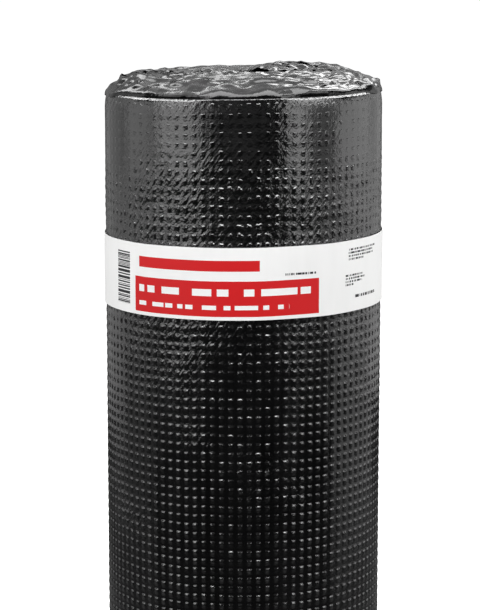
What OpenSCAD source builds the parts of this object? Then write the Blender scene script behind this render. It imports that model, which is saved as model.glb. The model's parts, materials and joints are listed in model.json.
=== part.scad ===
// A standing roll of bituminous roofing sheet, with a paper band round it.
// The turns run as one spiral, made of half turns about two centres half a turn's pitch apart.

/* [Sheet] */
// Width of the sheet, which is the height that the roll stands
sheet_width = 1000; // [600:10:1200]
// Length of sheet wound on the roll
sheet_length = 10000; // [5000:100:15000]
// Thickness that one turn of the sheet takes up
sheet_thickness = 4; // [2.5:0.1:6]

/* [Roll] */
// Diameter of the open bore through the roll
bore_diameter = 80; // [60:1:120]
// Width of the seam between two turns, where it opens on the roll's ends
seam_width = 1.2; // [0.6:0.1:2]
// Depth of the seam between two turns on the lower end
seam_depth = 1.5; // [0.5:0.1:3]

/* [Film edge] */
// Height of the crushed film edge above the sheet, at its crest between bore and rim
film_rise = 19; // [10:1:30]
// Height of the film edge above the sheet at the rim and at the bore
film_lip = 4; // [2:0.5:8]
// Step from the face of the sheet in to the film edge that stands on it
film_setback = 0.8; // [0.3:0.1:1.5]
// Depth of the seam between two turns of the film edge
film_seam_depth = 2.5; // [1:0.5:4]

/* [Label band] */
// Height of the paper band
band_height = 60; // [30:1:120]
// Distance from the sheet's upper edge down to the band
band_drop = 121; // [40:1:400]
// Thickness of the band
band_thickness = 0.3; // [0.2:0.05:1]
// Space between the band and the face of the sheet
band_clearance = 0.3; // [0.2:0.05:0.5]

/* [Hidden] */
$fn = 180;

bore_r = bore_diameter / 2;
// Outer radius that the length of sheet comes to, and the whole number of turns nearest to it
even_r = sqrt(bore_r * bore_r + sheet_length * sheet_thickness / PI);
turns = round((even_r - bore_r) / sheet_thickness);
// A quarter of the pitch is a whole number of microns, so that the half turns meet exactly
pitch_step = 0.004;
pitch = pitch_step * round((even_r - bore_r) / turns / pitch_step);
// First seam that shows, as the turns inside it are the level rim of the bore
first_seam = 2;

// Radius at which the first turn starts, about the left centre and about the right one
left_start_r = bore_r + pitch / 4;
right_start_r = bore_r - pitch / 4;
// Radius of the outer face, about the left centre and about the right one
left_r = left_start_r + turns * pitch;
right_r = right_start_r + turns * pitch;

// Power that gives the film edge its broad crest and steep flanks
crown_power = 3;
// Length by which the bore's cutter passes the faces that it cuts
cut_over = 1;

// Level of the film edge after a number of turns, counted from the bore
function film_level(turn) =
    let (flank = abs(2 * turn / turns - 1))
    sheet_width + film_lip + (film_rise - film_lip) * (1 - pow(flank, crown_power));

// Half turn about the left centre, from the back round the left to the front
module left_half() {
    translate([pitch / 4, 0, 0]) rotate([0, 0, 90]) rotate_extrude(angle = 180) children();
}

// Half turn about the right centre, from the front round the right to the back
module right_half() {
    translate([pitch / 4, -pitch / 2, 0]) rotate([0, 0, -90]) rotate_extrude(angle = 180) children();
}

// Section of the wound sheet from the axis out, notched at the seams between its turns
module wound_section(start_r) {
    half_seam = seam_width / 2;
    half_share = half_seam / pitch;
    end_r = start_r + turns * pitch;
    lower_end = [
        for (k = [first_seam : turns - 1])
            let (r = start_r + k * pitch)
            each [[r - half_seam, 0], [r, seam_depth], [r + half_seam, 0]]
    ];
    upper_end = [
        for (k = [turns - 1 : -1 : first_seam])
            let (r = start_r + k * pitch)
            each [
                [r + half_seam, film_level(k + half_share)],
                [r, film_level(k) - film_seam_depth],
                [r - half_seam, film_level(k - half_share)],
            ]
    ];
    polygon(concat(
        [[0, 0]],
        lower_end,
        [
            [end_r, 0],
            [end_r, sheet_width],
            [end_r - film_setback, sheet_width],
            [end_r - film_setback, film_level(turns)],
        ],
        upper_end,
        [[start_r + pitch, film_level(0)], [0, film_level(0)]]
    ));
}

// The wound sheet, its film edge and its open bore
module membrane_roll() {
    color([0.06, 0.06, 0.065])
    difference() {
        union() {
            left_half() wound_section(left_start_r);
            right_half() wound_section(right_start_r);
        }
        translate([0, 0, -cut_over])
            cylinder(r = bore_r, h = sheet_width + film_rise + 2 * cut_over);
    }
}

// Outline that a taut wrap takes round the roll, at a distance from its face
module taut_outline(distance) {
    left = left_r + distance;
    right = right_r + distance;
    right_centre = [pitch / 4, -pitch / 2];
    // Angle by which the wrap leaves the right half turn early, to reach over the tail of the sheet
    tail_angle = acos(right / (left + pitch / 2));
    translate([pitch / 4, 0])
    intersection() {
        circle(r = left);
        translate([-left, -left]) square([left, 2 * left]);
    }
    translate(right_centre) circle(r = right);
    polygon([
        [pitch / 4 - left / 2, 0],
        right_centre,
        right_centre + right * [sin(tail_angle), cos(tail_angle)],
        [pitch / 4, left],
    ]);
}

// The paper band, taut round the roll
module label_band() {
    color([0.93, 0.93, 0.92])
    translate([0, 0, sheet_width - band_drop - band_height])
    linear_extrude(height = band_height)
    difference() {
        taut_outline(band_clearance + band_thickness);
        taut_outline(band_clearance);
    }
}

membrane_roll();
label_band();
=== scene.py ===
"""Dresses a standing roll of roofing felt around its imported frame.

The roll is a wound bitumen sheet with an embossed film face, the crushed edge of that film on its upper end
and a paper band round it. Lengths are in metres. A wrapped piece is drawn flat first, with x along the
winding, y up the roll and z out from its face, and is then laid round the spiral.
"""

from __future__ import annotations

import json
import logging
import math
from collections.abc import Callable, Mapping
from dataclasses import dataclass, replace
from enum import Enum

import bmesh
import bpy
from bmesh.types import BMEdge, BMesh, BMFace, BMVert
from bpy.types import Material, Node, NodeSocket, NodeTree, Object
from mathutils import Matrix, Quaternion, Vector, noise

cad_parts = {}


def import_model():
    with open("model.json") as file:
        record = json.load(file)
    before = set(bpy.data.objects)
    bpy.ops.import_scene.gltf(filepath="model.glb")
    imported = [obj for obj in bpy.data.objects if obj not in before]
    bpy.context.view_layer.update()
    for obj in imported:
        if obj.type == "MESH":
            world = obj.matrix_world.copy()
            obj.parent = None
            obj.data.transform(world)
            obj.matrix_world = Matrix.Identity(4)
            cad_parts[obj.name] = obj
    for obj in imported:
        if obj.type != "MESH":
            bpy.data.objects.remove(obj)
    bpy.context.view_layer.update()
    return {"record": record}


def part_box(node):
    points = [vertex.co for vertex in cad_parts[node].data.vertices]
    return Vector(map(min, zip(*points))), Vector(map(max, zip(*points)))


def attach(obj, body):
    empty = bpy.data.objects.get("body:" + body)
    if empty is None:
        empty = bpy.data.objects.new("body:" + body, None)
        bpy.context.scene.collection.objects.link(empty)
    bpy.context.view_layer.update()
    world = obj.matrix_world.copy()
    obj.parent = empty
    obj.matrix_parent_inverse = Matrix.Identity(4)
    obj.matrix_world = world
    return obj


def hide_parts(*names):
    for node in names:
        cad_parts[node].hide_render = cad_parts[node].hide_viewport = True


LOG = logging.getLogger("felt_roll")
BODY = "root"
LOOSE_FILM = "loose_film"
PRESSED_PADS = "pressed_pads"
LEAST_PRESSED = 0.36
FULL_TURN = 2 * math.pi
JUST_UNDER_ONE = 1 - 1e-6
SHEET_TURNS = 20
SHEET_WIDTH = 1.0
FILM_SLOPE = math.tan(math.radians(0.84))
BAND_SLOPE = math.tan(math.radians(0.65))
Colour = tuple[float, float, float, float]


class Slot(Enum):
    """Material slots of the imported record."""

    MEMBRANE = "membrane"
    LABEL = "label"


def smooth_step(low: float, high: float, value: float) -> float:
    """Eases from 0 to 1 as a value passes between two limits.

    Args:
        low: Value at which the result leaves 0.
        high: Value at which the result reaches 1.
        value: Value to ease.

    Returns:
        The eased share, from 0 to 1.
    """
    share = min(1.0, max(0.0, (value - low) / (high - low)))
    return share * share * (3 - 2 * share)


def triangle_wave(phase: float) -> float:
    """Returns a fold of straight flanks, from -1 to 1, that repeats with each whole phase."""
    return 4 * abs(phase - math.floor(phase + 0.5)) - 1


def noise_at(x: float, y: float, z: float) -> float:
    """Returns smooth noise, from about -1 to 1, at a place."""
    return noise.noise(Vector((x, y, z)))


def grey(level: float) -> Colour:
    """Returns a plain grey."""
    return (level, level, level, 1.0)


@dataclass(frozen=True)
class Spiral:
    """The winding, as half turns about two centres that lie half a pitch apart.

    A turn count of 0 is at the tail of the sheet, at the back. The count runs from there over the left to the
    front and over the right to the back again, and on into the next turn below.
    """

    pitch: float
    left_radius: float
    turns: int

    @property
    def right_radius(self) -> float:
        """Outer radius of the right half turn."""
        return self.left_radius - self.pitch / 2

    @property
    def girth(self) -> float:
        """Length of the outermost turn."""
        return math.pi * (self.left_radius + self.right_radius)

    def point(self, turn: float, out: float) -> tuple[float, float]:
        """Finds a place on the winding.

        Args:
            turn: Turns from the tail.
            out: Distance out from the face of that turn.

        Returns:
            The place's x and y.
        """
        whole = math.floor(turn)
        part = turn - whole
        angle = math.pi / 2 + FULL_TURN * part
        left = part < 0.5
        radius = (self.left_radius if left else self.right_radius) - whole * self.pitch + out
        centre_y = 0.0 if left else -self.pitch / 2
        return self.pitch / 4 + radius * math.cos(angle), centre_y + radius * math.sin(angle)

    def taut_point(self, turn: float, out: float) -> tuple[float, float]:
        """Finds a place on a wrap that is taut over the tail.

        Args:
            turn: Turns from the tail, up to a little over one.
            out: Distance out from the face of the outermost turn.

        Returns:
            The place's x and y.
        """
        if turn >= 1:
            return self.point(turn - 1, out)
        reach = math.acos((self.right_radius + out) / (self.left_radius + out + self.pitch / 2))
        leave = 1 - reach / FULL_TURN
        if turn <= leave:
            return self.point(turn, out)
        share = (turn - leave) / (1 - leave)
        start = Vector(self.point(leave, out))
        end = Vector(self.point(0.0, out))
        return tuple(start.lerp(end, share))


@dataclass(frozen=True)
class Sketch:
    """Adds and wires the nodes of one shader tree."""

    tree: NodeTree

    def link(self, source: NodeSocket, target: NodeSocket) -> None:
        """Wires one socket to another."""
        self.tree.links.new(source, target)

    def fill(self, node: Node, inputs: dict[str, object]) -> Node:
        """Gives a node its inputs.

        Args:
            node: The node.
            inputs: Values or sockets by input name, with _ for a space, or by place, such as i0.

        Returns:
            The same node.
        """
        for name, value in inputs.items():
            by_place = name[0] == "i" and name[1:].isdigit()
            socket = node.inputs[int(name[1:])] if by_place else node.inputs[name.replace("_", " ")]
            if isinstance(value, NodeSocket):
                self.link(value, socket)
            else:
                socket.default_value = value
        return node

    def add(self, kind: str, settings: dict[str, object] | None = None, **inputs: object) -> Node:
        """Adds a node.

        Args:
            kind: The node's type.
            settings: Values of the node's own properties.
            inputs: Values or sockets for its inputs.

        Returns:
            The new node.
        """
        node = self.tree.nodes.new(kind)
        for name, value in (settings or {}).items():
            setattr(node, name, value)
        return self.fill(node, inputs)

    def group(self, tree: NodeTree, **inputs: object) -> Node:
        """Places a node group with its own values and returns its node."""
        return self.fill(self.add("ShaderNodeGroup", {"node_tree": tree}), inputs)

    def math(self, operation: str, *values: object) -> NodeSocket:
        """Adds a Math node on the given values and returns its result."""
        inputs = {f"i{place}": value for place, value in enumerate(values)}
        return self.add("ShaderNodeMath", {"operation": operation}, **inputs).outputs[0]

    def noise(self, place: object, scale: object, detail: float = 2.0) -> NodeSocket:
        """Adds a Noise Texture and returns its value."""
        return self.add("ShaderNodeTexNoise", Vector=place, Scale=scale, Detail=detail).outputs[0]

    def span(
        self,
        value: object,
        start: float,
        end: object,
        low: float = 0.0,
        high: float = 1.0,
        kind: str = "LINEAR",
    ) -> NodeSocket:
        """Spreads a value's range from start to end over low to high.

        Args:
            value: The value.
            start: Where its range starts.
            end: Where its range ends.
            low: Result at the start.
            high: Result at the end.
            kind: How the result runs from one to the other.

        Returns:
            The result.
        """
        node = self.add(
            "ShaderNodeMapRange",
            {"interpolation_type": kind},
            Value=value,
            From_Min=start,
            From_Max=end,
            To_Min=low,
            To_Max=high,
        )
        return node.outputs[0]

    def vector(self, operation: str, *values: object) -> NodeSocket:
        """Adds a Vector Math node on the given values and returns its vector."""
        inputs = {f"i{place}": value for place, value in enumerate(values)}
        return self.add("ShaderNodeVectorMath", {"operation": operation}, **inputs).outputs[0]

    def blend(self, share: object, under: object, over: object, kind: str = "MIX") -> NodeSocket:
        """Mixes two colours and returns the result."""
        settings = {"data_type": "RGBA", "blend_type": kind}
        return self.add("ShaderNodeMix", settings, i0=share, i6=under, i7=over).outputs[2]


def new_group(
    name: str, vectors: tuple[str, ...], numbers: tuple[str, ...], result: str
) -> tuple[Sketch, Mapping[str, NodeSocket], NodeSocket]:
    """Starts a shader node group.

    Args:
        name: The group's name.
        vectors: Names of its vector inputs.
        numbers: Names of its number inputs.
        result: Name of its one output, a number.

    Returns:
        The group's sketch, what it is given, by name, and the socket that takes its result.
    """
    sketch = Sketch(bpy.data.node_groups.new(name, "ShaderNodeTree"))
    kinds = {**dict.fromkeys(vectors, "NodeSocketVector"), **dict.fromkeys(numbers, "NodeSocketFloat")}
    for label, kind in kinds.items():
        sketch.tree.interface.new_socket(name=label, in_out="INPUT", socket_type=kind)
    sketch.tree.interface.new_socket(name=result, in_out="OUTPUT", socket_type="NodeSocketFloat")
    return sketch, sketch.add("NodeGroupInput").outputs, sketch.add("NodeGroupOutput").inputs[result]


@dataclass(frozen=True)
class SharedEffects:
    """Shader node groups that several finishes use."""

    crinkle: NodeTree
    emboss: NodeTree
    scuff: NodeTree
    block: NodeTree

    @classmethod
    def build(cls) -> SharedEffects:
        """Builds every group once."""
        return cls(cls.build_crinkle(), cls.build_emboss(), cls.build_scuff(), cls.build_block())

    @staticmethod
    def build_crinkle() -> NodeTree:
        """Builds the crinkle of thin film: slanting creases in patches, over fine dents.

        Returns:
            The group.
        """
        stretch, dent_fineness, dent_share = 4.0, 1.5, 0.32
        sketch, given, result = new_group("film_crinkle", ("Vector", "Slant"), ("Crease", "Patch"), "Height")
        place, crease = given["Vector"], given["Crease"]
        slanted = sketch.add(
            "ShaderNodeMapping",
            {"vector_type": "TEXTURE"},
            Vector=place,
            Rotation=given["Slant"],
            Scale=(1.0, stretch, 1.0),
        ).outputs[0]
        creases = sketch.noise(slanted, crease, 1.0)
        patches = sketch.span(sketch.noise(place, given["Patch"]), 0.42, 0.62, 0.15, 1.0)
        dents = sketch.noise(place, sketch.math("MULTIPLY", crease, dent_fineness))
        height = sketch.math("MULTIPLY_ADD", dents, dent_share, sketch.math("MULTIPLY", creases, patches))
        sketch.link(height, result)
        return sketch.tree

    @staticmethod
    def build_emboss() -> NodeTree:
        """Builds the rounded pads of embossed film, steeper above than below and no two quite alike.

        Returns:
            The group.
        """
        core, rim, crest = 0.08, 0.34, 0.05
        weakest, strongest = 0.45, 1.3
        sketch, given, result = new_group("film_emboss", ("Vector", "Pitch"), ("Brow",), "Height")
        cells = sketch.vector("DIVIDE", given["Vector"], given["Pitch"])
        centred = sketch.vector("SUBTRACT", sketch.vector("FRACTION", cells), (0.5, 0.5, 0.0))
        away = sketch.add("ShaderNodeSeparateXYZ", Vector=centred)
        across = sketch.span(sketch.math("ABSOLUTE", away.outputs[0]), core, rim, 1.0, 0.0, "SMOOTHSTEP")
        foot = sketch.span(away.outputs[1], -0.5, crest)
        brow_end = sketch.math("ADD", given["Brow"], crest)
        brow = sketch.span(away.outputs[1], crest, brow_end, 1.0, 0.0, "SMOOTHSTEP")
        upward = sketch.math("MULTIPLY", foot, brow)
        lot = sketch.add(
            "ShaderNodeTexWhiteNoise", {"noise_dimensions": "2D"}, Vector=sketch.vector("FLOOR", cells)
        ).outputs["Value"]
        strength = sketch.span(lot, 0.0, 1.0, weakest, strongest)
        pads = sketch.math("MULTIPLY", sketch.math("MULTIPLY", across, upward), strength)
        sketch.link(pads, result)
        return sketch.tree

    @staticmethod
    def build_scuff() -> NodeTree:
        """Builds a mask of cloudy dust with rubbed streaks in it.

        Returns:
            The group.
        """
        stretch, streak_fineness = 0.15, 6.0
        sketch, given, result = new_group("handling_scuff", ("Vector",), ("Cloud",), "Mask")
        place, cloud = given["Vector"], given["Cloud"]
        along = sketch.add("ShaderNodeMapping", Vector=place, Scale=(1.0, 1.0, stretch)).outputs[0]
        streaks = sketch.noise(along, sketch.math("MULTIPLY", cloud, streak_fineness), 3.0)
        both = sketch.math("MULTIPLY", sketch.noise(place, cloud, 5.0), streaks)
        sketch.link(sketch.span(both, 0.18, 0.42), result)
        return sketch.tree

    @staticmethod
    def build_block() -> NodeTree:
        """Builds the mask of one printed block, between four edges on the paper.

        Returns:
            The group.
        """
        edges = ("Left", "Right", "Bottom", "Top")
        sketch, given, result = new_group("printed_block", ("Vector",), edges, "Mask")
        place = sketch.add("ShaderNodeSeparateXYZ", Vector=given["Vector"]).outputs
        within = []
        for axis, low, high in ((0, "Left", "Right"), (1, "Bottom", "Top")):
            over = sketch.math("GREATER_THAN", place[axis], given[low])
            under = sketch.math("LESS_THAN", place[axis], given[high])
            within.append(sketch.math("MULTIPLY", over, under))
        sketch.link(sketch.math("MULTIPLY", *within), result)
        return sketch.tree


def new_material(name: str) -> tuple[Material, Sketch, Node]:
    """Starts a material.

    Args:
        name: The material's name.

    Returns:
        The material, the sketch of its nodes and its Principled shader.
    """
    material = bpy.data.materials.new(name)
    material.use_nodes = True
    return material, Sketch(material.node_tree), material.node_tree.nodes["Principled BSDF"]


@dataclass(frozen=True)
class FilmFinish:
    """Thin black plastic film, glossy, crinkled where it is loose and a little dusty."""

    name: str
    crease_scale: float
    crease_depth: float
    patch_scale: float
    roughness: tuple[float, float]
    pad_pitch: tuple[float, float] = (0.0075, 0.0075)
    pad_depth: float = 0.0
    pad_brow: tuple[float, float] = (0.085, 0.26)
    stray_scale: float = 240.0
    stray_reach: tuple[float, float] = (0.0007, 0.0045)
    cloud_scale: float = 9.0
    grain_scale: float = 620.0
    grain_depth: float = 0.0001
    slant: float = -math.radians(36)
    refraction: float = 2.0
    black: Colour = (0.0008, 0.0008, 0.0009, 1.0)
    dust: Colour = (0.002, 0.002, 0.0022, 1.0)

    def material(self, effects: SharedEffects) -> Material:
        """Builds the film's material.

        Args:
            effects: The shared node groups.

        Returns:
            The material.
        """
        material, sketch, shader = new_material(self.name)
        place = sketch.add("ShaderNodeTexCoord").outputs
        on_film = place["UV"]
        scuff = sketch.group(effects.scuff, Vector=place["Object"], Cloud=self.cloud_scale).outputs["Mask"]
        crinkle = sketch.group(
            effects.crinkle,
            Vector=on_film,
            Crease=self.crease_scale,
            Slant=(0.0, 0.0, self.slant),
            Patch=self.patch_scale,
        ).outputs["Height"]
        loose = sketch.add("ShaderNodeAttribute", {"attribute_name": LOOSE_FILM}).outputs["Fac"]
        relief = sketch.math("MULTIPLY", sketch.math("MULTIPLY", crinkle, loose), self.crease_depth)
        grain = sketch.noise(on_film, self.grain_scale, 1.0)
        relief = sketch.math("MULTIPLY_ADD", grain, self.grain_depth, relief)
        if self.pad_depth:
            pressed = sketch.add("ShaderNodeAttribute", {"attribute_name": PRESSED_PADS}).outputs["Fac"]
            pads = sketch.group(
                effects.emboss,
                Vector=self.strayed(sketch, on_film, loose),
                Pitch=(*self.pad_pitch, 1.0),
                Brow=sketch.span(pressed, LEAST_PRESSED, 1.0, *self.pad_brow),
            ).outputs["Height"]
            firm = sketch.math("MULTIPLY", pressed, self.pad_depth)
            relief = sketch.math("MULTIPLY_ADD", pads, firm, relief)
        colour = sketch.blend(scuff, self.black, self.dust)
        sheen = sketch.span(scuff, 0.0, 1.0, *self.roughness)
        bump = sketch.add("ShaderNodeBump", Height=relief, Strength=1.0, Distance=1.0).outputs[0]
        sketch.fill(shader, {"Base Color": colour, "Roughness": sheen, "Normal": bump})
        shader.inputs["IOR"].default_value = self.refraction
        return material

    def strayed(self, sketch: Sketch, place: NodeSocket, loose: NodeSocket) -> NodeSocket:
        """Lets the pads stray from their rows, and further where the film is loose.

        Args:
            sketch: The material's nodes.
            place: Place on the film.
            loose: How loose the film is there.

        Returns:
            The place that the pads are drawn at.
        """
        drift = sketch.add("ShaderNodeTexNoise", Vector=place, Scale=self.stray_scale, Detail=1.0).outputs[1]
        astray = sketch.vector("SUBTRACT", drift, (0.5, 0.5, 0.5))
        reach = sketch.span(loose, 0.1, 1.0, *self.stray_reach)
        moved = sketch.add("ShaderNodeVectorMath", {"operation": "SCALE"}, i0=astray, Scale=reach)
        return sketch.vector("ADD", place, moved.outputs[0])


@dataclass(frozen=True)
class BitumenFinish:
    """Cut bitumen sheet, dull black, with a mineral grain."""

    name: str = "bitumen_sheet"
    black: Colour = grey(0.006)
    dust: Colour = grey(0.03)
    cloud_scale: float = 20.0
    grain_scale: float = 900.0
    grain_depth: float = 0.0003
    roughness: tuple[float, float] = (0.5, 0.75)

    def material(self, effects: SharedEffects) -> Material:
        """Builds the sheet's material.

        Args:
            effects: The shared node groups.

        Returns:
            The material.
        """
        material, sketch, shader = new_material(self.name)
        place = sketch.add("ShaderNodeTexCoord").outputs["Object"]
        scuff = sketch.group(effects.scuff, Vector=place, Cloud=self.cloud_scale).outputs["Mask"]
        grain = sketch.noise(place, self.grain_scale)
        colour = sketch.blend(sketch.math("MULTIPLY", scuff, grain), self.black, self.dust)
        sheen = sketch.span(grain, 0.0, 1.0, *self.roughness)
        bump = sketch.add("ShaderNodeBump", Height=grain, Strength=0.8, Distance=self.grain_depth).outputs[0]
        sketch.fill(shader, {"Base Color": colour, "Roughness": sheen, "Normal": bump})
        return material


@dataclass(frozen=True)
class PrintedBlock:
    """One block of print, by its edges from the middle of the front and from the paper's foot."""

    left: float
    right: float
    bottom: float
    top: float
    bars: float = 0.0
    stacked: bool = False

    def lines(self, pitch: float, *ends: float) -> list[PrintedBlock]:
        """Sets like lines at a pitch below this one, each with a right end of its own."""
        rows = [(end, pitch * line) for line, end in enumerate((self.right, *ends))]
        return [replace(self, right=e, bottom=self.bottom - drop, top=self.top - drop) for e, drop in rows]


@dataclass(frozen=True)
class PaperFinish:
    """White printed paper with a plain red panel and plain bars."""

    name: str = "label_paper"
    white: Colour = (0.89, 0.89, 0.885, 1.0)
    red: Colour = (0.6, 0.0115, 0.014, 1.0)
    ink: Colour = (0.02, 0.02, 0.022, 1.0)
    gloss: float = 0.3
    panels: tuple[PrintedBlock, ...] = (
        PrintedBlock(-0.102, 0.0647, 0.0029, 0.0324),
        PrintedBlock(-0.097, 0.0124, 0.0405, 0.0495),
    )
    on_panel: tuple[PrintedBlock, ...] = (
        PrintedBlock(-0.097, 0.0568, 0.0200, 0.0258, bars=70.0),
        PrintedBlock(-0.097, 0.0374, 0.0086, 0.0122, bars=110.0),
    )
    on_paper: tuple[PrintedBlock, ...] = (
        PrintedBlock(-0.1289, -0.1094, 0.0073, 0.0513, bars=900.0, stacked=True),
        PrintedBlock(0.0339, 0.0616, 0.0361, 0.0379, bars=700.0),
        *PrintedBlock(0.0972, 0.1405, 0.0515, 0.0531, bars=700.0).lines(0.0027, 0.1350, 0.1360, 0.1194),
        *PrintedBlock(0.0937, 0.1180, 0.0298, 0.0314, bars=700.0).lines(0.0026, 0.1210, 0.1164, 0.1037),
        PrintedBlock(0.1050, 0.1405, 0.0110, 0.0134, bars=600.0),
    )
    bar_shift: float = 40.0
    bar_gap: float = 0.45
    soil: Colour = (0.82, 0.82, 0.81, 1.0)
    soil_share: float = 0.2
    cloud_scale: float = 14.0
    fibre_scale: float = 2600.0
    fibre_depth: float = 0.00008
    roughness: tuple[float, float] = (0.42, 0.62)

    def material(self, effects: SharedEffects) -> Material:
        """Builds the paper's material.

        Args:
            effects: The shared node groups.

        Returns:
            The material.
        """
        material, sketch, shader = new_material(self.name)
        place = sketch.add("ShaderNodeTexCoord").outputs
        on_paper = place["UV"]
        layers = [(block, self.red) for block in self.panels]
        layers += [(block, self.white) for block in self.on_panel]
        layers += [(block, self.ink) for block in self.on_paper]
        colour: object = self.white
        for block, ink in layers:
            colour = sketch.blend(self.mask(sketch, effects, on_paper, block), colour, ink)
        scuff = sketch.group(effects.scuff, Vector=place["Object"], Cloud=self.cloud_scale).outputs["Mask"]
        soiled = sketch.math("MULTIPLY", scuff, self.soil_share)
        worn = sketch.blend(soiled, colour, self.soil, "MULTIPLY")
        fibre = sketch.noise(on_paper, self.fibre_scale, 3.0)
        sheen = sketch.span(fibre, 0.0, 1.0, *self.roughness)
        bump = sketch.add("ShaderNodeBump", Height=fibre, Strength=0.25, Distance=self.fibre_depth).outputs[0]
        sketch.fill(shader, {"Base Color": worn, "Roughness": sheen, "Normal": bump})
        shader.inputs["Specular IOR Level"].default_value = self.gloss
        return material

    def mask(
        self, sketch: Sketch, effects: SharedEffects, place: NodeSocket, block: PrintedBlock
    ) -> NodeSocket:
        """Draws one printed block, broken into bars where it has them.

        Args:
            sketch: The material's nodes.
            effects: The shared node groups.
            place: Place on the paper.
            block: The block to draw.

        Returns:
            The block's mask.
        """
        edges = {"Left": block.left, "Right": block.right, "Bottom": block.bottom, "Top": block.top}
        mask = sketch.group(effects.block, Vector=place, **edges).outputs["Mask"]
        if not block.bars:
            return mask
        apart = sketch.add("ShaderNodeSeparateXYZ", Vector=place).outputs[1 if block.stacked else 0]
        run = sketch.math("ADD", apart, block.bottom * self.bar_shift)
        bars = sketch.add(
            "ShaderNodeTexNoise", {"noise_dimensions": "1D"}, W=run, Scale=block.bars, Detail=0.0
        ).outputs[0]
        return sketch.math("MULTIPLY", mask, sketch.math("GREATER_THAN", bars, self.bar_gap))


def finish_mesh(bm: BMesh, name: str, material: Material, crease: float) -> Object:
    """Makes an object of a shaped mesh.

    Args:
        bm: The shaped mesh, which is freed.
        name: The piece's name.
        material: Its material.
        crease: Angle between faces, in degrees, over which their edge is sharp.

    Returns:
        The object, at the origin.
    """
    mesh = bpy.data.meshes.new(name)
    bm.to_mesh(mesh)
    bm.free()
    mesh.polygons.foreach_set("use_smooth", [True] * len(mesh.polygons))
    mesh.set_sharp_from_angle(angle=math.radians(crease))
    mesh.materials.append(material)
    piece = bpy.data.objects.new(name, mesh)
    bpy.context.scene.collection.objects.link(piece)
    LOG.info("%s: %d faces", name, len(mesh.polygons))
    return piece


def flat_grid(columns: int, rows: int, length: float, width: float) -> BMesh:
    """Makes a flat grid with one corner at the origin.

    Args:
        columns: Cells along x.
        rows: Cells along y.
        length: Size along x.
        width: Size along y.

    Returns:
        The grid, which faces +z.
    """
    bm = bmesh.new()
    bmesh.ops.create_grid(bm, x_segments=columns, y_segments=rows, size=0.5)
    bmesh.ops.translate(bm, verts=bm.verts[:], vec=(0.5, 0.5, 0.0))
    bmesh.ops.scale(bm, verts=bm.verts[:], vec=(length, width, 1.0))
    return bm


def thicken(bm: BMesh, thickness: float) -> BMesh:
    """Closes a flat grid into a slab that reaches down from it.

    Args:
        bm: The flat grid.
        thickness: Size along z.

    Returns:
        The same mesh.
    """
    lower = bmesh.ops.extrude_face_region(bm, geom=bm.faces[:], use_keep_orig=True)["geom"]
    lower_verts = [item for item in lower if isinstance(item, BMVert)]
    bmesh.ops.translate(bm, verts=lower_verts, vec=(0.0, 0.0, -thickness))
    bmesh.ops.recalc_face_normals(bm, faces=bm.faces[:])
    return bm


def lay(bm: BMesh, place: Callable[[Vector], Vector]) -> None:
    """Moves every point of a flat sheet to its place on the roll.

    Args:
        bm: The flat sheet.
        place: Gives a point's place on the roll.
    """
    for vert in bm.verts:
        vert.co = place(vert.co)


def map_flat(bm: BMesh, origin_x: float) -> None:
    """Keeps each point's flat place, in metres, as the sheet's UV map.

    Args:
        bm: The sheet while it is still flat.
        origin_x: Place along the sheet that the map counts from.
    """
    layer = bm.loops.layers.uv.new("sheet")
    for face in bm.faces:
        for loop in face.loops:
            loop[layer].uv = (loop.vert.co.x - origin_x, loop.vert.co.y)


def mark(bm: BMesh, name: str, measure: Callable[[Vector], float]) -> None:
    """Keeps a measure of the film at each point.

    Args:
        bm: The film while it is still flat.
        name: The attribute that keeps the measure.
        measure: Gives the measure at a flat place, from 0 to 1.
    """
    layer = bm.verts.layers.float.new(name)
    for vert in bm.verts:
        vert[layer] = measure(vert.co)


@dataclass
class FeltCoil:
    """The wound bitumen sheet: the turns, their ends and the bore."""

    spiral: Spiral
    width: float
    face_depth: float = 0.0015
    thickness: float = 0.0026
    edge_round: float = 0.0004
    outer_drop: float = 0.014
    steps_a_turn: int = 72

    def build(self, material: Material) -> Object:
        """Winds the sheet.

        Args:
            material: The sheet's material.

        Returns:
            The piece.
        """
        turns = self.spiral.turns
        length = self.spiral.girth * turns
        bm = thicken(flat_grid(turns * self.steps_a_turn, 1, length, self.width), self.thickness)
        long_edges = [edge for edge in bm.edges if self.is_long_edge(edge)]
        bmesh.ops.bevel(
            bm, geom=long_edges, offset=self.edge_round, segments=2, profile=0.5, affect="EDGES", material=-1
        )
        lay(bm, self.placed)
        return finish_mesh(bm, "felt_coil", material, 40)

    def placed(self, flat: Vector) -> Vector:
        """Finds a point's place on the winding, whose outermost turn ends lower under the film's shoulder.

        Args:
            flat: The point on the flat sheet.

        Returns:
            The place.
        """
        turn = flat.x / self.spiral.girth * JUST_UNDER_ONE
        x, y = self.spiral.point(turn, flat.z - self.face_depth)
        drop = self.outer_drop * smooth_step(1.1, 1.0, turn)
        return Vector((x, y, flat.y * (1 - drop / self.width)))

    @staticmethod
    def is_long_edge(edge: BMEdge) -> bool:
        """Tells whether an edge runs along the winding on a cut side of the sheet.

        Args:
            edge: The edge, while the sheet is flat.

        Returns:
            True if it does.
        """
        first, second = edge.verts
        along = abs(first.co.y - second.co.y) < 1e-9 and abs(first.co.z - second.co.z) < 1e-9
        return along and len({round(face.normal.z) for face in edge.link_faces}) > 1


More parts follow.
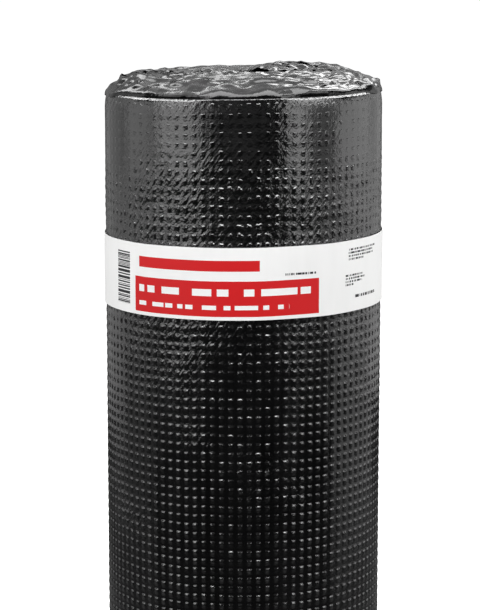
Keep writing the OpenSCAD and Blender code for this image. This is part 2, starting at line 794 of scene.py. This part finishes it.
@dataclass
class EmbossedFilm:
    """The film on the outermost turn, embossed with square pads and loose in its upper part."""

    spiral: Spiral
    width: float
    lift: float
    columns: int = 98
    rows: int = 131
    split_row: int = 63
    face_depth: float = 0.0007
    shoulder_rows: int = 14
    shoulder_round: float = 0.0006
    shoulder_slope: float = math.radians(41)
    shoulder_width: float = 0.0024
    lean_zone: float = 0.009
    lean_bend: float = 0.003
    lean: float = math.radians(10)
    shoulder_reach: float = 0.0045
    pad_gap: float = 0.0015
    pad_slope: float = 0.0013
    pad_rise: float = 0.00026
    pad_spread: float = 0.28
    dent_scale: float = 420.0
    wave_depth: float = 0.00025
    swell_depth: float = 0.0002
    film_thickness: float = 0.00012
    edge_looseness: float = 0.45
    loose_foot: float = 0.70
    loose_top: float = 0.90
    calm_foot: float = 0.925
    calm_top: float = 0.955

    def build(self, material: Material) -> list[Object]:
        """Embosses the film in two lengths, one above the other.

        Args:
            material: The film's material.

        Returns:
            The lower and the upper piece.
        """
        top_row = self.rows + self.shoulder_rows
        return [
            self.build_rows("embossed_film_lower", 0, self.split_row, material),
            self.build_rows("embossed_film_upper", self.split_row, top_row, material),
        ]

    def build_rows(self, name: str, first: int, last: int, material: Material) -> Object:
        """Embosses some rows of the film and lays them round the roll.

        Args:
            name: The piece's name.
            first: Row that it starts at.
            last: Row that it ends before.
            material: The film's material.

        Returns:
            The piece.
        """
        girth = self.spiral.girth
        count = last - first
        bm = thicken(flat_grid(self.columns, count, girth, float(count)), self.film_thickness)
        for vert in bm.verts:
            vert.co.y = self.row_level(first + vert.co.y)
        cells = [face for face in bm.faces if self.is_cell(face)]
        bmesh.ops.inset_individual(bm, faces=cells, thickness=self.pad_gap, use_even_offset=True)
        bmesh.ops.inset_individual(
            bm, faces=cells, thickness=self.pad_slope, depth=self.pad_rise, use_even_offset=True
        )
        map_flat(bm, girth / 2)
        mark(bm, LOOSE_FILM, self.looseness)
        mark(bm, PRESSED_PADS, self.firmness)
        lay(bm, self.placed)
        return finish_mesh(bm, name, material, 60)

    @property
    def cell_size(self) -> tuple[float, float]:
        """Size of one embossed cell along the winding and up the roll."""
        return self.spiral.girth / self.columns, self.straight / self.rows

    @property
    def straight(self) -> float:
        """Height of the film up to its shoulder."""
        return self.width - self.shoulder_round - self.shoulder_width * math.cos(self.shoulder_slope)

    @property
    def shoulder_length(self) -> float:
        """Length of film that goes round the shoulder."""
        return math.pi / 2 * self.shoulder_round + self.shoulder_width

    def row_level(self, row: float) -> float:
        """Turns a row's number into its length up the film, with fine rows at the shoulder.

        Args:
            row: The row's number, from the foot.

        Returns:
            The length.
        """
        if row <= self.rows:
            return self.straight * row / self.rows
        over = self.shoulder_length + self.shoulder_reach
        return self.straight + over * (row - self.rows) / self.shoulder_rows

    def is_cell(self, face: BMFace) -> bool:
        """Tells whether a face is one embossed cell on the outer side of the film."""
        return face.normal.z > 0.5 and face.calc_center_median().y < self.straight

    def looseness(self, flat: Vector) -> float:
        """Tells how far the film has come loose at a place.

        Args:
            flat: The place on the flat film.

        Returns:
            How loose it is, from about 0, bonded, to 1.
        """
        drift = noise_at(flat.x * 14, flat.y * 14, 3.1)
        patch = smooth_step(0.15, 0.6, noise_at(flat.x * 9, flat.y * 16, 7.7))
        high = smooth_step(self.loose_foot, self.loose_top, flat.y + 0.05 * drift)
        loose = min(1.0, 0.1 + 0.9 * max(high, 0.6 * patch)) * (1 - 0.6 * self.calm(flat))
        return loose + self.edge_looseness * smooth_step(self.straight - 0.012, self.straight - 0.004, flat.y)

    def firmness(self, flat: Vector) -> float:
        """Tells how firmly the pads are pressed into the film at a place, from 0 to 1."""
        return 1 - (1 - LEAST_PRESSED) * self.calm(flat)

    def calm(self, flat: Vector) -> float:
        """Tells how far the film is drawn smooth towards its upper edge, from 0 to 1."""
        drift = noise_at(flat.x * 11, flat.y * 14, 9.4)
        return smooth_step(self.calm_foot, self.calm_top, flat.y + 0.015 * drift)

    def placed(self, flat: Vector) -> Vector:
        """Finds a point's place on the roll.

        Args:
            flat: The point on the flat film.

        Returns:
            The place.
        """
        loose = self.looseness(flat)
        cell_x = math.floor(flat.x / self.spiral.girth * self.columns)
        cell_y = math.floor(flat.y / self.straight * self.rows)
        firm = self.firmness(flat) ** 2 * (1 + self.pad_spread * noise_at(cell_x * 0.71, cell_y * 0.83, 0.5))
        dent = 1 + (0.15 + 0.35 * loose) * noise_at(flat.x * self.dent_scale, flat.y * self.dent_scale, 2.2)
        wave = self.wave_depth * loose * noise_at(flat.x * 70, flat.y * 90, 1.0)
        swell = self.swell_depth * noise_at(flat.x * 16, flat.y * 7, 5.0)
        out = flat.z * firm * dent + wave + swell - self.face_depth
        turn = flat.x / self.spiral.girth * JUST_UNDER_ONE
        level, inward = self.profile(flat.y, self.shoulder_at(turn))
        x, y = self.spiral.point(turn, out - inward)
        return Vector((x, y, level + self.lift * x * level / self.width))

    def shoulder_at(self, turn: float) -> float:
        """Finds how wide the shoulder's slope is, which is folded crisply at the middle of the front.

        Args:
            turn: Turns from the tail.

        Returns:
            The width.
        """
        soft = smooth_step(0.24, 0.4, abs(math.cos(math.pi / 2 + FULL_TURN * turn)))
        ripple = smooth_step(-0.55, 0.0, noise_at(turn * 16, 0.0, 6.3))
        return self.shoulder_width * (0.02 + 0.98 * soft * (0.4 + 0.6 * ripple))

    def profile(self, length: float, shoulder: float) -> tuple[float, float]:
        """Follows the film up the roll, over the shoulder's slope and in over the end.

        Args:
            length: Length up the film.
            shoulder: Width of the shoulder's slope.

        Returns:
            The level and the distance inwards.
        """
        up = min(length, self.straight)
        share = min(1.0, max(0.0, (length - up) / self.shoulder_length))
        reach = max(0.0, length - up - self.shoulder_length)
        leant = max(0.0, up - (self.straight - self.lean_zone))
        along = share * (math.pi / 2 * self.shoulder_round + shoulder)
        slope_start = self.shoulder_slope * self.shoulder_round
        on_slope = min(max(0.0, along - slope_start), shoulder)
        bend = (along - on_slope) / self.shoulder_round
        foot = self.width - self.shoulder_round - shoulder * math.cos(self.shoulder_slope)
        level = up * foot / self.straight
        level += self.shoulder_round * math.sin(bend) + on_slope * math.cos(self.shoulder_slope) + 0.1 * reach
        inward = leant**2 / (leant + self.lean_bend) * math.tan(self.lean)
        inward += self.shoulder_round * (1 - math.cos(bend)) + on_slope * math.sin(self.shoulder_slope)
        return level, inward + reach


@dataclass(frozen=True)
class Fold:
    """One family of straight creases in crushed film."""

    slant: float
    spacing: float
    depth: float
    drift: float

    def rise(self, x: float, y: float) -> float:
        """Finds how far the creases lift the film.

        Args:
            x: Place along the film.
            y: Place up the film.

        Returns:
            The lift, up or down.
        """
        turn = math.radians(self.slant)
        across = (x * math.cos(turn) + y * math.sin(turn)) / self.spacing
        return self.depth * triangle_wave(across + self.drift * noise_at(x * 28, y * 40, self.slant))


@dataclass(frozen=True)
class FrillSpot:
    """One place along the crushed film, by its turns from the tail and its direction from the roll's axis.

    Share, back, deep, hump and side run from 0 to 1 and tell how far in along the film the place is, how far
    at the back, among the inner turns, on the hump of the back and at a side of the rim.
    """

    turn: float
    x: float
    y: float
    share: float
    back: float
    deep: float
    hump: float
    side: float
    sway: float
    flutter: float


@dataclass
class FilmFrill:
    """The free edge of the film, crushed inwards over the upper end of the roll in leaning leaves."""

    spiral: Spiral
    base_level: float
    crest_level: float
    lift: float
    face_depth: float = 0.0007
    inset: float = 0.0042
    middle_out: float = 0.0021
    right_out: float = 0.001
    side_out: float = 0.0001
    side_drop: float = 0.0025
    belly: float = 0.0014
    belly_height: float = 0.006
    leaf_gap: float = 0.008
    turns: int = 9
    film_length: float = 0.0235
    front_lean: float = 60.0
    back_lean: float = 112.0
    front_bend: float = 0.0065
    inner_bend: float = 0.016
    back_bend: float = 0.0138
    hump_bend: float = 0.003
    flutter_bend: float = 0.0015
    back_stretch: float = 0.35
    waver: float = 0.1
    crest_round: float = 0.004
    hump_rise: float = 0.004
    dip_depth: float = 0.0015
    film_thickness: float = 0.0002
    mesh_step: float = 0.0018
    rows: int = 14
    folds: tuple[Fold, ...] = (
        Fold(12.0, 0.058, 0.0009, 0.8),
        Fold(80.0, 0.0125, 0.0005, 0.7),
        Fold(-62.0, 0.021, 0.0005, 0.9),
        Fold(99.0, 0.0085, 0.00025, 0.8),
    )

    def build(self, material: Material) -> Object:
        """Crushes the film's edge.

        Args:
            material: The film's material.

        Returns:
            The piece.
        """
        mean_radius = self.spiral.left_radius - self.leaf_gap * self.turns / 2
        run = FULL_TURN * mean_radius * self.turns
        bm = flat_grid(round(run / self.mesh_step), self.rows, run, self.film_length)
        map_flat(bm, 0.0)
        mark(bm, LOOSE_FILM, self.looseness)
        lay(bm, self.placed)
        bmesh.ops.recalc_face_normals(bm, faces=bm.faces[:])
        bmesh.ops.solidify(bm, geom=bm.faces[:], thickness=self.film_thickness)
        return finish_mesh(bm, "film_frill", material, 34)

    def spot(self, run: float) -> FrillSpot:
        """Finds the place at a length along the film, from the rim inwards.

        Args:
            run: The length.

        Returns:
            The place.
        """
        rim = self.spiral.left_radius
        turn = (rim - math.sqrt(max(0.0, rim**2 - self.leaf_gap * run / math.pi))) / self.leaf_gap
        angle = math.pi / 2 + FULL_TURN * turn
        x, y = math.cos(angle), math.sin(angle)
        share = turn / self.turns
        return FrillSpot(
            turn,
            x,
            y,
            share,
            back=smooth_step(-0.25, 0.45, y),
            deep=smooth_step(0.0, 0.42, share),
            hump=smooth_step(-0.2, 0.45, x) * smooth_step(0.95, 0.7, x),
            side=smooth_step(0.86, 0.96, abs(x)) * smooth_step(1.2, 0.9, turn),
            sway=noise_at(x * 2.1, y * 2.1, turn * 0.3),
            flutter=noise_at(x * 6.0 + 4.0, y * 6.0, turn * 0.7),
        )

    def looseness(self, flat: Vector) -> float:
        """Tells how deep the film's crinkle is at a place, which is deepest at the foot of the front.

        Args:
            flat: The place on the flat film.

        Returns:
            The depth, from 1 upwards.
        """
        spot = self.spot(flat.x)
        front = smooth_step(0.2, -0.3, spot.y) * smooth_step(1.1, 0.9, spot.turn)
        return 1 + 1.4 * front * smooth_step(0.6, 0.4, flat.y / self.film_length)

    def placed(self, flat: Vector) -> Vector:
        """Finds a point's place on the crushed film.

        Args:
            flat: The point on the flat film, with x from the rim inwards.

        Returns:
            The place.
        """
        spot = self.spot(flat.x)
        rise, inward, tilt = self.curl(flat, spot)
        free = smooth_step(0.02, 0.35, flat.y / self.film_length)
        rough = 0.8 - 0.45 * spot.deep + 0.7 * smooth_step(0.2, 0.5, spot.x)
        rough += 0.25 * smooth_step(0.3, 0.6, -spot.x)
        crush = rough * free * sum(fold.rise(flat.x, flat.y) for fold in self.folds)
        x, y = self.spiral.point(spot.turn, crush * math.cos(tilt) - inward - self.step_in(flat, spot))
        foot = self.base_level - self.side_drop * spot.side
        level = foot + rise + crush * math.sin(tilt)
        dip = math.exp(-(((spot.x + 0.08) / 0.09) ** 2))
        crest = self.crest_level + spot.back * (self.hump_rise * spot.hump - self.dip_depth * dip)
        soft = crest - self.crest_round
        if level > soft:
            level = soft + self.crest_round * math.tanh((level - soft) / self.crest_round)
        return Vector((x, y, max(level, foot) + self.lift * x))

    def curl(self, flat: Vector, spot: FrillSpot) -> tuple[float, float, float]:
        """Follows the film up from its root, round its bend and along its lean.

        Args:
            flat: The point on the flat film.
            spot: Its place along the film.

        Returns:
            The rise, the distance inwards and the tilt of the film's face there.
        """
        cleft = math.exp(-(((spot.x + 0.02) / 0.1) ** 2)) * (1 - spot.back) * (1 - spot.share)
        front_lean = self.front_lean + 12 * smooth_step(0.2, 0.6, spot.x) + 8 * spot.deep
        back_lean = self.back_lean + 16 * smooth_step(0.2, 0.9, spot.share)
        degrees = front_lean + (back_lean - front_lean) * spot.back + 7 * spot.sway + 5 * spot.flutter
        degrees += 12 * cleft - 14 * smooth_step(0.7, 0.92, -spot.x) * (1 - spot.share)
        lean = math.radians(degrees)
        front_bend = self.front_bend + (self.inner_bend - self.front_bend) * spot.deep
        back_bend = self.back_bend + self.hump_bend * spot.hump + self.flutter_bend * spot.flutter
        bend = front_bend + (back_bend - front_bend) * spot.back
        along = flat.y * (1 + self.back_stretch * spot.back + self.waver * (spot.sway + spot.flutter))
        tilt = min(along / bend, lean)
        straight = max(0.0, along - bend * lean)
        rise = bend * math.sin(tilt) + straight * math.cos(tilt)
        inward = bend * (1 - math.cos(tilt)) + straight * math.sin(tilt)
        return rise, inward, tilt

    def step_in(self, flat: Vector, spot: FrillSpot) -> float:
        """Finds how far in from the winding's face the film stands, with a belly low on the loose parts.

        Args:
            flat: The point on the flat film.
            spot: Its place along the film.

        Returns:
            The distance inwards.
        """
        middle = smooth_step(0.36, 0.24, abs(spot.x)) * (1 - spot.back)
        right = smooth_step(0.5, 0.66, spot.x) * (1 - spot.back)
        belly = self.belly * smooth_step(-0.35, 0.1, spot.sway + 0.4 * spot.flutter)
        belly *= math.sin(min(1.0, flat.y / self.belly_height) * math.pi) * (1 - middle) * (1 - right)
        inset = self.inset - self.middle_out * middle - self.right_out * right
        leaves = (self.leaf_gap - self.spiral.pitch) * max(0.0, spot.turn - 0.9)
        return self.face_depth + (inset - belly) * (1 - spot.side) - self.side_out * spot.side + leaves


@dataclass
class LabelBand:
    """The paper band, taut round the roll and lapped at the back."""

    spiral: Spiral
    foot: float
    height: float
    lift: float
    clearance: float = 0.0002
    thickness: float = 0.00025
    slack: float = 0.00018
    edge_waver: float = 0.00025
    lap_share: float = 0.035
    lap_lift: float = 0.00035
    columns: int = 260
    rows: int = 12

    def build(self, material: Material) -> Object:
        """Wraps the band.

        Args:
            material: The paper's material.

        Returns:
            The piece.
        """
        girth = self.spiral.girth
        length = girth * (1 + self.lap_share)
        bm = thicken(flat_grid(self.columns, self.rows, length, self.height), self.thickness)
        map_flat(bm, girth / 2)
        lay(bm, self.placed)
        return finish_mesh(bm, "label_paper_band", material, 40)

    def placed(self, flat: Vector) -> Vector:
        """Finds a point's place on the roll.

        Args:
            flat: The point on the flat band.

        Returns:
            The place.
        """
        turn = flat.x / self.spiral.girth
        over = self.lap_lift * smooth_step(0.985, 1.0, turn)
        slack = self.slack * (1 + noise_at(flat.x * 22, flat.y * 30, 2.0))
        out = self.clearance + self.thickness + flat.z + over + slack
        x, y = self.spiral.taut_point(turn, out)
        edge = self.edge_waver * noise_at(flat.x * 30, 0.0, 8.0)
        return Vector((x, y, self.foot + flat.y + edge + self.lift * x))


@dataclass(frozen=True)
class Softbox:
    """One softbox, by its direction from the roll and the size and brightness of its face."""

    name: str
    azimuth: float
    distance: float
    level: float
    aim_level: float
    size: tuple[float, float]
    radiance: float
    roll: float = 0.0

    def hang(self) -> None:
        """Hangs the softbox, turned to the roll's axis."""
        turn = math.radians(self.azimuth)
        place = Vector((math.sin(turn) * self.distance, -math.cos(turn) * self.distance, self.level))
        data = bpy.data.lights.new(self.name, "AREA")
        data.shape = "RECTANGLE"
        data.size, data.size_y = self.size
        data.energy = self.radiance * math.pi * self.size[0] * self.size[1]
        lamp = bpy.data.objects.new(self.name, data)
        lamp.location = place
        lamp.rotation_mode = "QUATERNION"
        facing = (Vector((0.0, 0.0, self.aim_level)) - place).to_track_quat("-Z", "Y")
        lamp.rotation_quaternion = facing @ Quaternion((0.0, 0.0, 1.0), math.radians(self.roll))
        lamp.visible_camera = False
        bpy.context.scene.collection.objects.link(lamp)
        LOG.info("%s hung", self.name)


@dataclass
class Studio:
    """The plain floor, the softboxes and the camera."""

    camera_place: Vector
    camera_pitch: float
    focal_pixels: float
    frame_height: int = 610
    sensor: float = 36.0
    softboxes: tuple[Softbox, ...] = (
        Softbox("left_softbox", -56, 2.4, 0.98, 0.98, (1.7, 0.86), 1.45),
        Softbox("left_mid_softbox", -29, 2.4, 1.1, 1.1, (0.6, 0.6), 0.45),
        Softbox("left_key_softbox", -58, 2.2, 2.0, 0.8, (1.4, 1.1), 2.6),
        Softbox("left_edge_softbox", -110, 1.6, 2.5, 1.0, (2.2, 0.4), 6.5, roll=36),
        Softbox("left_rear_softbox", -95, 2.4, 1.05, 1.05, (1.4, 1.2), 0.78),
        Softbox("left_back_softbox", -136, 1.9, 1.3, 1.3, (1.6, 2.0), 0.4),
        Softbox("left_low_softbox", -105, 2.3, 0.28, 0.28, (2.6, 0.5), 0.14),
        Softbox("front_fill_softbox", 0, 2.6, 0.95, 0.95, (2.0, 0.7), 0.1),
        Softbox("strip_softbox", 43, 2.8, 0.98, 0.98, (0.9, 0.9), 1.7),
        Softbox("right_fill_softbox", 66, 2.8, 1.0, 1.0, (1.4, 1.0), 0.37),
        Softbox("right_key_softbox", 60, 2.2, 2.0, 0.8, (1.4, 1.1), 2.8),
        Softbox("right_edge_softbox", 110, 1.6, 2.5, 1.0, (2.2, 0.4), 8.0, roll=-36),
        Softbox("right_softbox", 103, 2.4, 0.98, 0.98, (2.0, 1.0), 1.05),
        Softbox("right_low_softbox", 105, 2.3, 0.28, 0.28, (2.6, 0.5), 0.38),
        Softbox("right_back_softbox", 143, 2.4, 1.25, 1.25, (1.4, 2.0), 0.55),
        Softbox("back_softbox", 180, 3.0, 1.2, 1.2, (1.6, 1.8), 0.12),
        Softbox("high_back_softbox", 180, 2.8, 1.75, 1.75, (1.6, 1.3), 0.35),
        Softbox("key_softbox", 0, 1.0, 3.0, 0.9, (3.0, 1.8), 7.2),
        Softbox("ceiling_softbox", 180, 0.5, 3.2, 1.0, (3.0, 2.6), 1.3),
        Softbox("top_softbox", 180, 1.9, 2.6, 1.0, (1.8, 0.3), 7.0),
        Softbox("top_left_softbox", -126, 1.5, 2.5, 1.0, (1.2, 0.9), 0.8),
        Softbox("top_right_softbox", 155, 1.9, 2.35, 1.0, (0.9, 0.9), 5.0),
    )

    def build(self) -> None:
        """Sets up everything round the roll."""
        bpy.context.scene.view_settings.view_transform = "Standard"
        self.build_world()
        self.build_floor()
        for softbox in self.softboxes:
            softbox.hang()
        self.build_camera()

    def build_world(self) -> None:
        """Makes the surroundings: white to the camera, and a dim grey room to the roll."""
        world = bpy.data.worlds.new("studio_room")
        bpy.context.scene.world = world
        world.use_nodes = True
        sketch = Sketch(world.node_tree)
        seen = sketch.add("ShaderNodeLightPath").outputs["Is Camera Ray"]
        background = world.node_tree.nodes["Background"]
        background.inputs["Color"].default_value = grey(1.0)
        sketch.link(sketch.span(seen, 0.0, 1.0, 0.04, 1.0), background.inputs["Strength"])

    def build_floor(self) -> None:
        """Lays the pale floor, which the roll's gloss sees as dark: painted shade, lifted by painted light
        behind the roll and near it.
        """
        bm = bmesh.new()
        bmesh.ops.create_grid(bm, x_segments=1, y_segments=1, size=60.0)
        mesh = bpy.data.meshes.new("floor")
        bm.to_mesh(mesh)
        bm.free()
        material = bpy.data.materials.new("pale_floor")
        material.use_nodes = True
        sketch = Sketch(material.node_tree)
        sketch.tree.nodes.remove(sketch.tree.nodes["Principled BSDF"])
        seen = sketch.add("ShaderNodeLightPath").outputs["Is Camera Ray"]
        place = sketch.add("ShaderNodeTexCoord").outputs["Object"]
        away = sketch.add("ShaderNodeVectorMath", {"operation": "LENGTH"}, i0=place).outputs["Value"]
        rear = sketch.vector("SUBTRACT", place, (0.0, 0.9, 0.0))
        from_rear = sketch.add("ShaderNodeVectorMath", {"operation": "LENGTH"}, i0=rear).outputs["Value"]
        pale = sketch.add("ShaderNodeBsdfDiffuse", Color=grey(0.8))
        lit = sketch.add("ShaderNodeEmission", Strength=sketch.span(away, 0.5, 1.6, 0.42, 1.0))
        shown = sketch.add("ShaderNodeAddShader", i0=pale.outputs[0], i1=lit.outputs[0])
        # Painted light and shade seen only by the roll's gloss: a dark floor with a painted pool of light
        # behind the roll and a brighter painted patch near it.
        painted_rear_light_pool = sketch.span(from_rear, 1.2, 2.2, 1.0, 0.0)
        painted_floor_shade_and_light = sketch.blend(painted_rear_light_pool, grey(0.015), grey(0.09))
        painted_floor_shade_and_light = sketch.blend(sketch.span(away, 0.5, 0.9, 1.0, 0.0), painted_floor_shade_and_light, grey(0.2))
        dark = sketch.add("ShaderNodeBsdfDiffuse", Color=painted_floor_shade_and_light)
        both = sketch.add("ShaderNodeMixShader", i0=seen, i1=dark.outputs[0], i2=shown.outputs[0])
        sketch.link(both.outputs[0], sketch.tree.nodes["Material Output"].inputs["Surface"])
        mesh.materials.append(material)
        floor = bpy.data.objects.new("floor", mesh)
        bpy.context.scene.collection.objects.link(floor)

    def build_camera(self) -> None:
        """Sets the camera at the photograph's place and angle."""
        data = bpy.data.cameras.new("camera")
        data.sensor_fit = "AUTO"
        data.sensor_width = self.sensor
        data.lens = self.focal_pixels / self.frame_height * self.sensor
        camera = bpy.data.objects.new("camera", data)
        camera.location = self.camera_place
        camera.rotation_euler = (math.pi / 2 - self.camera_pitch, 0.0, 0.0)
        bpy.context.scene.collection.objects.link(camera)
        bpy.context.scene.camera = camera


def main() -> None:
    """Builds the roll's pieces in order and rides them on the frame."""
    logging.basicConfig(level=logging.INFO, format="%(name)s: %(message)s")
    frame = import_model()
    roll_low, roll_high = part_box("membrane_roll")
    band_low, band_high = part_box("label_band")
    bore = next(mount for mount in frame["record"]["mounts"] if mount["name"] == "bore")
    bore_radius = bore["dims"]["r_mm"] / 1000
    wound_radius = (roll_high.x - roll_low.x) / 2
    pitch = (wound_radius - bore_radius) / SHEET_TURNS
    spiral = Spiral(pitch, wound_radius + pitch / 4, SHEET_TURNS)

    effects = SharedEffects.build()
    face = EmbossedFilm(spiral, SHEET_WIDTH, lift=FILM_SLOPE)
    edge = FilmFrill(
        spiral, base_level=SHEET_WIDTH + 0.0001, crest_level=roll_high.z + 0.003, lift=FILM_SLOPE
    )
    paper = LabelBand(spiral, band_low.z, band_high.z - band_low.z, lift=BAND_SLOPE)
    face_film = FilmFinish(
        "face_film",
        crease_scale=340.0,
        crease_depth=0.0011,
        patch_scale=26.0,
        roughness=(0.13, 0.22),
        pad_pitch=face.cell_size,
        pad_depth=0.0006,
    )
    edge_film = FilmFinish(
        "edge_film",
        crease_scale=150.0,
        crease_depth=0.0004,
        patch_scale=40.0,
        roughness=(0.16, 0.26),
        grain_depth=0.0,
        slant=-math.radians(40),
        refraction=1.5,
    )

    coil = FeltCoil(spiral, SHEET_WIDTH).build(BitumenFinish().material(effects))
    film = face.build(face_film.material(effects))
    frill = edge.build(edge_film.material(effects))
    band = paper.build(PaperFinish().material(effects))

    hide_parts("membrane_roll")
    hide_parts("label_band")
    for piece in (coil, *film, frill, band):
        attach(piece, BODY)

    Studio(
        camera_place=Vector((-0.0029, -2.02, 1.146)), camera_pitch=math.radians(9.39), focal_pixels=2349.0
    ).build()


if __name__ == "__main__":
    main()
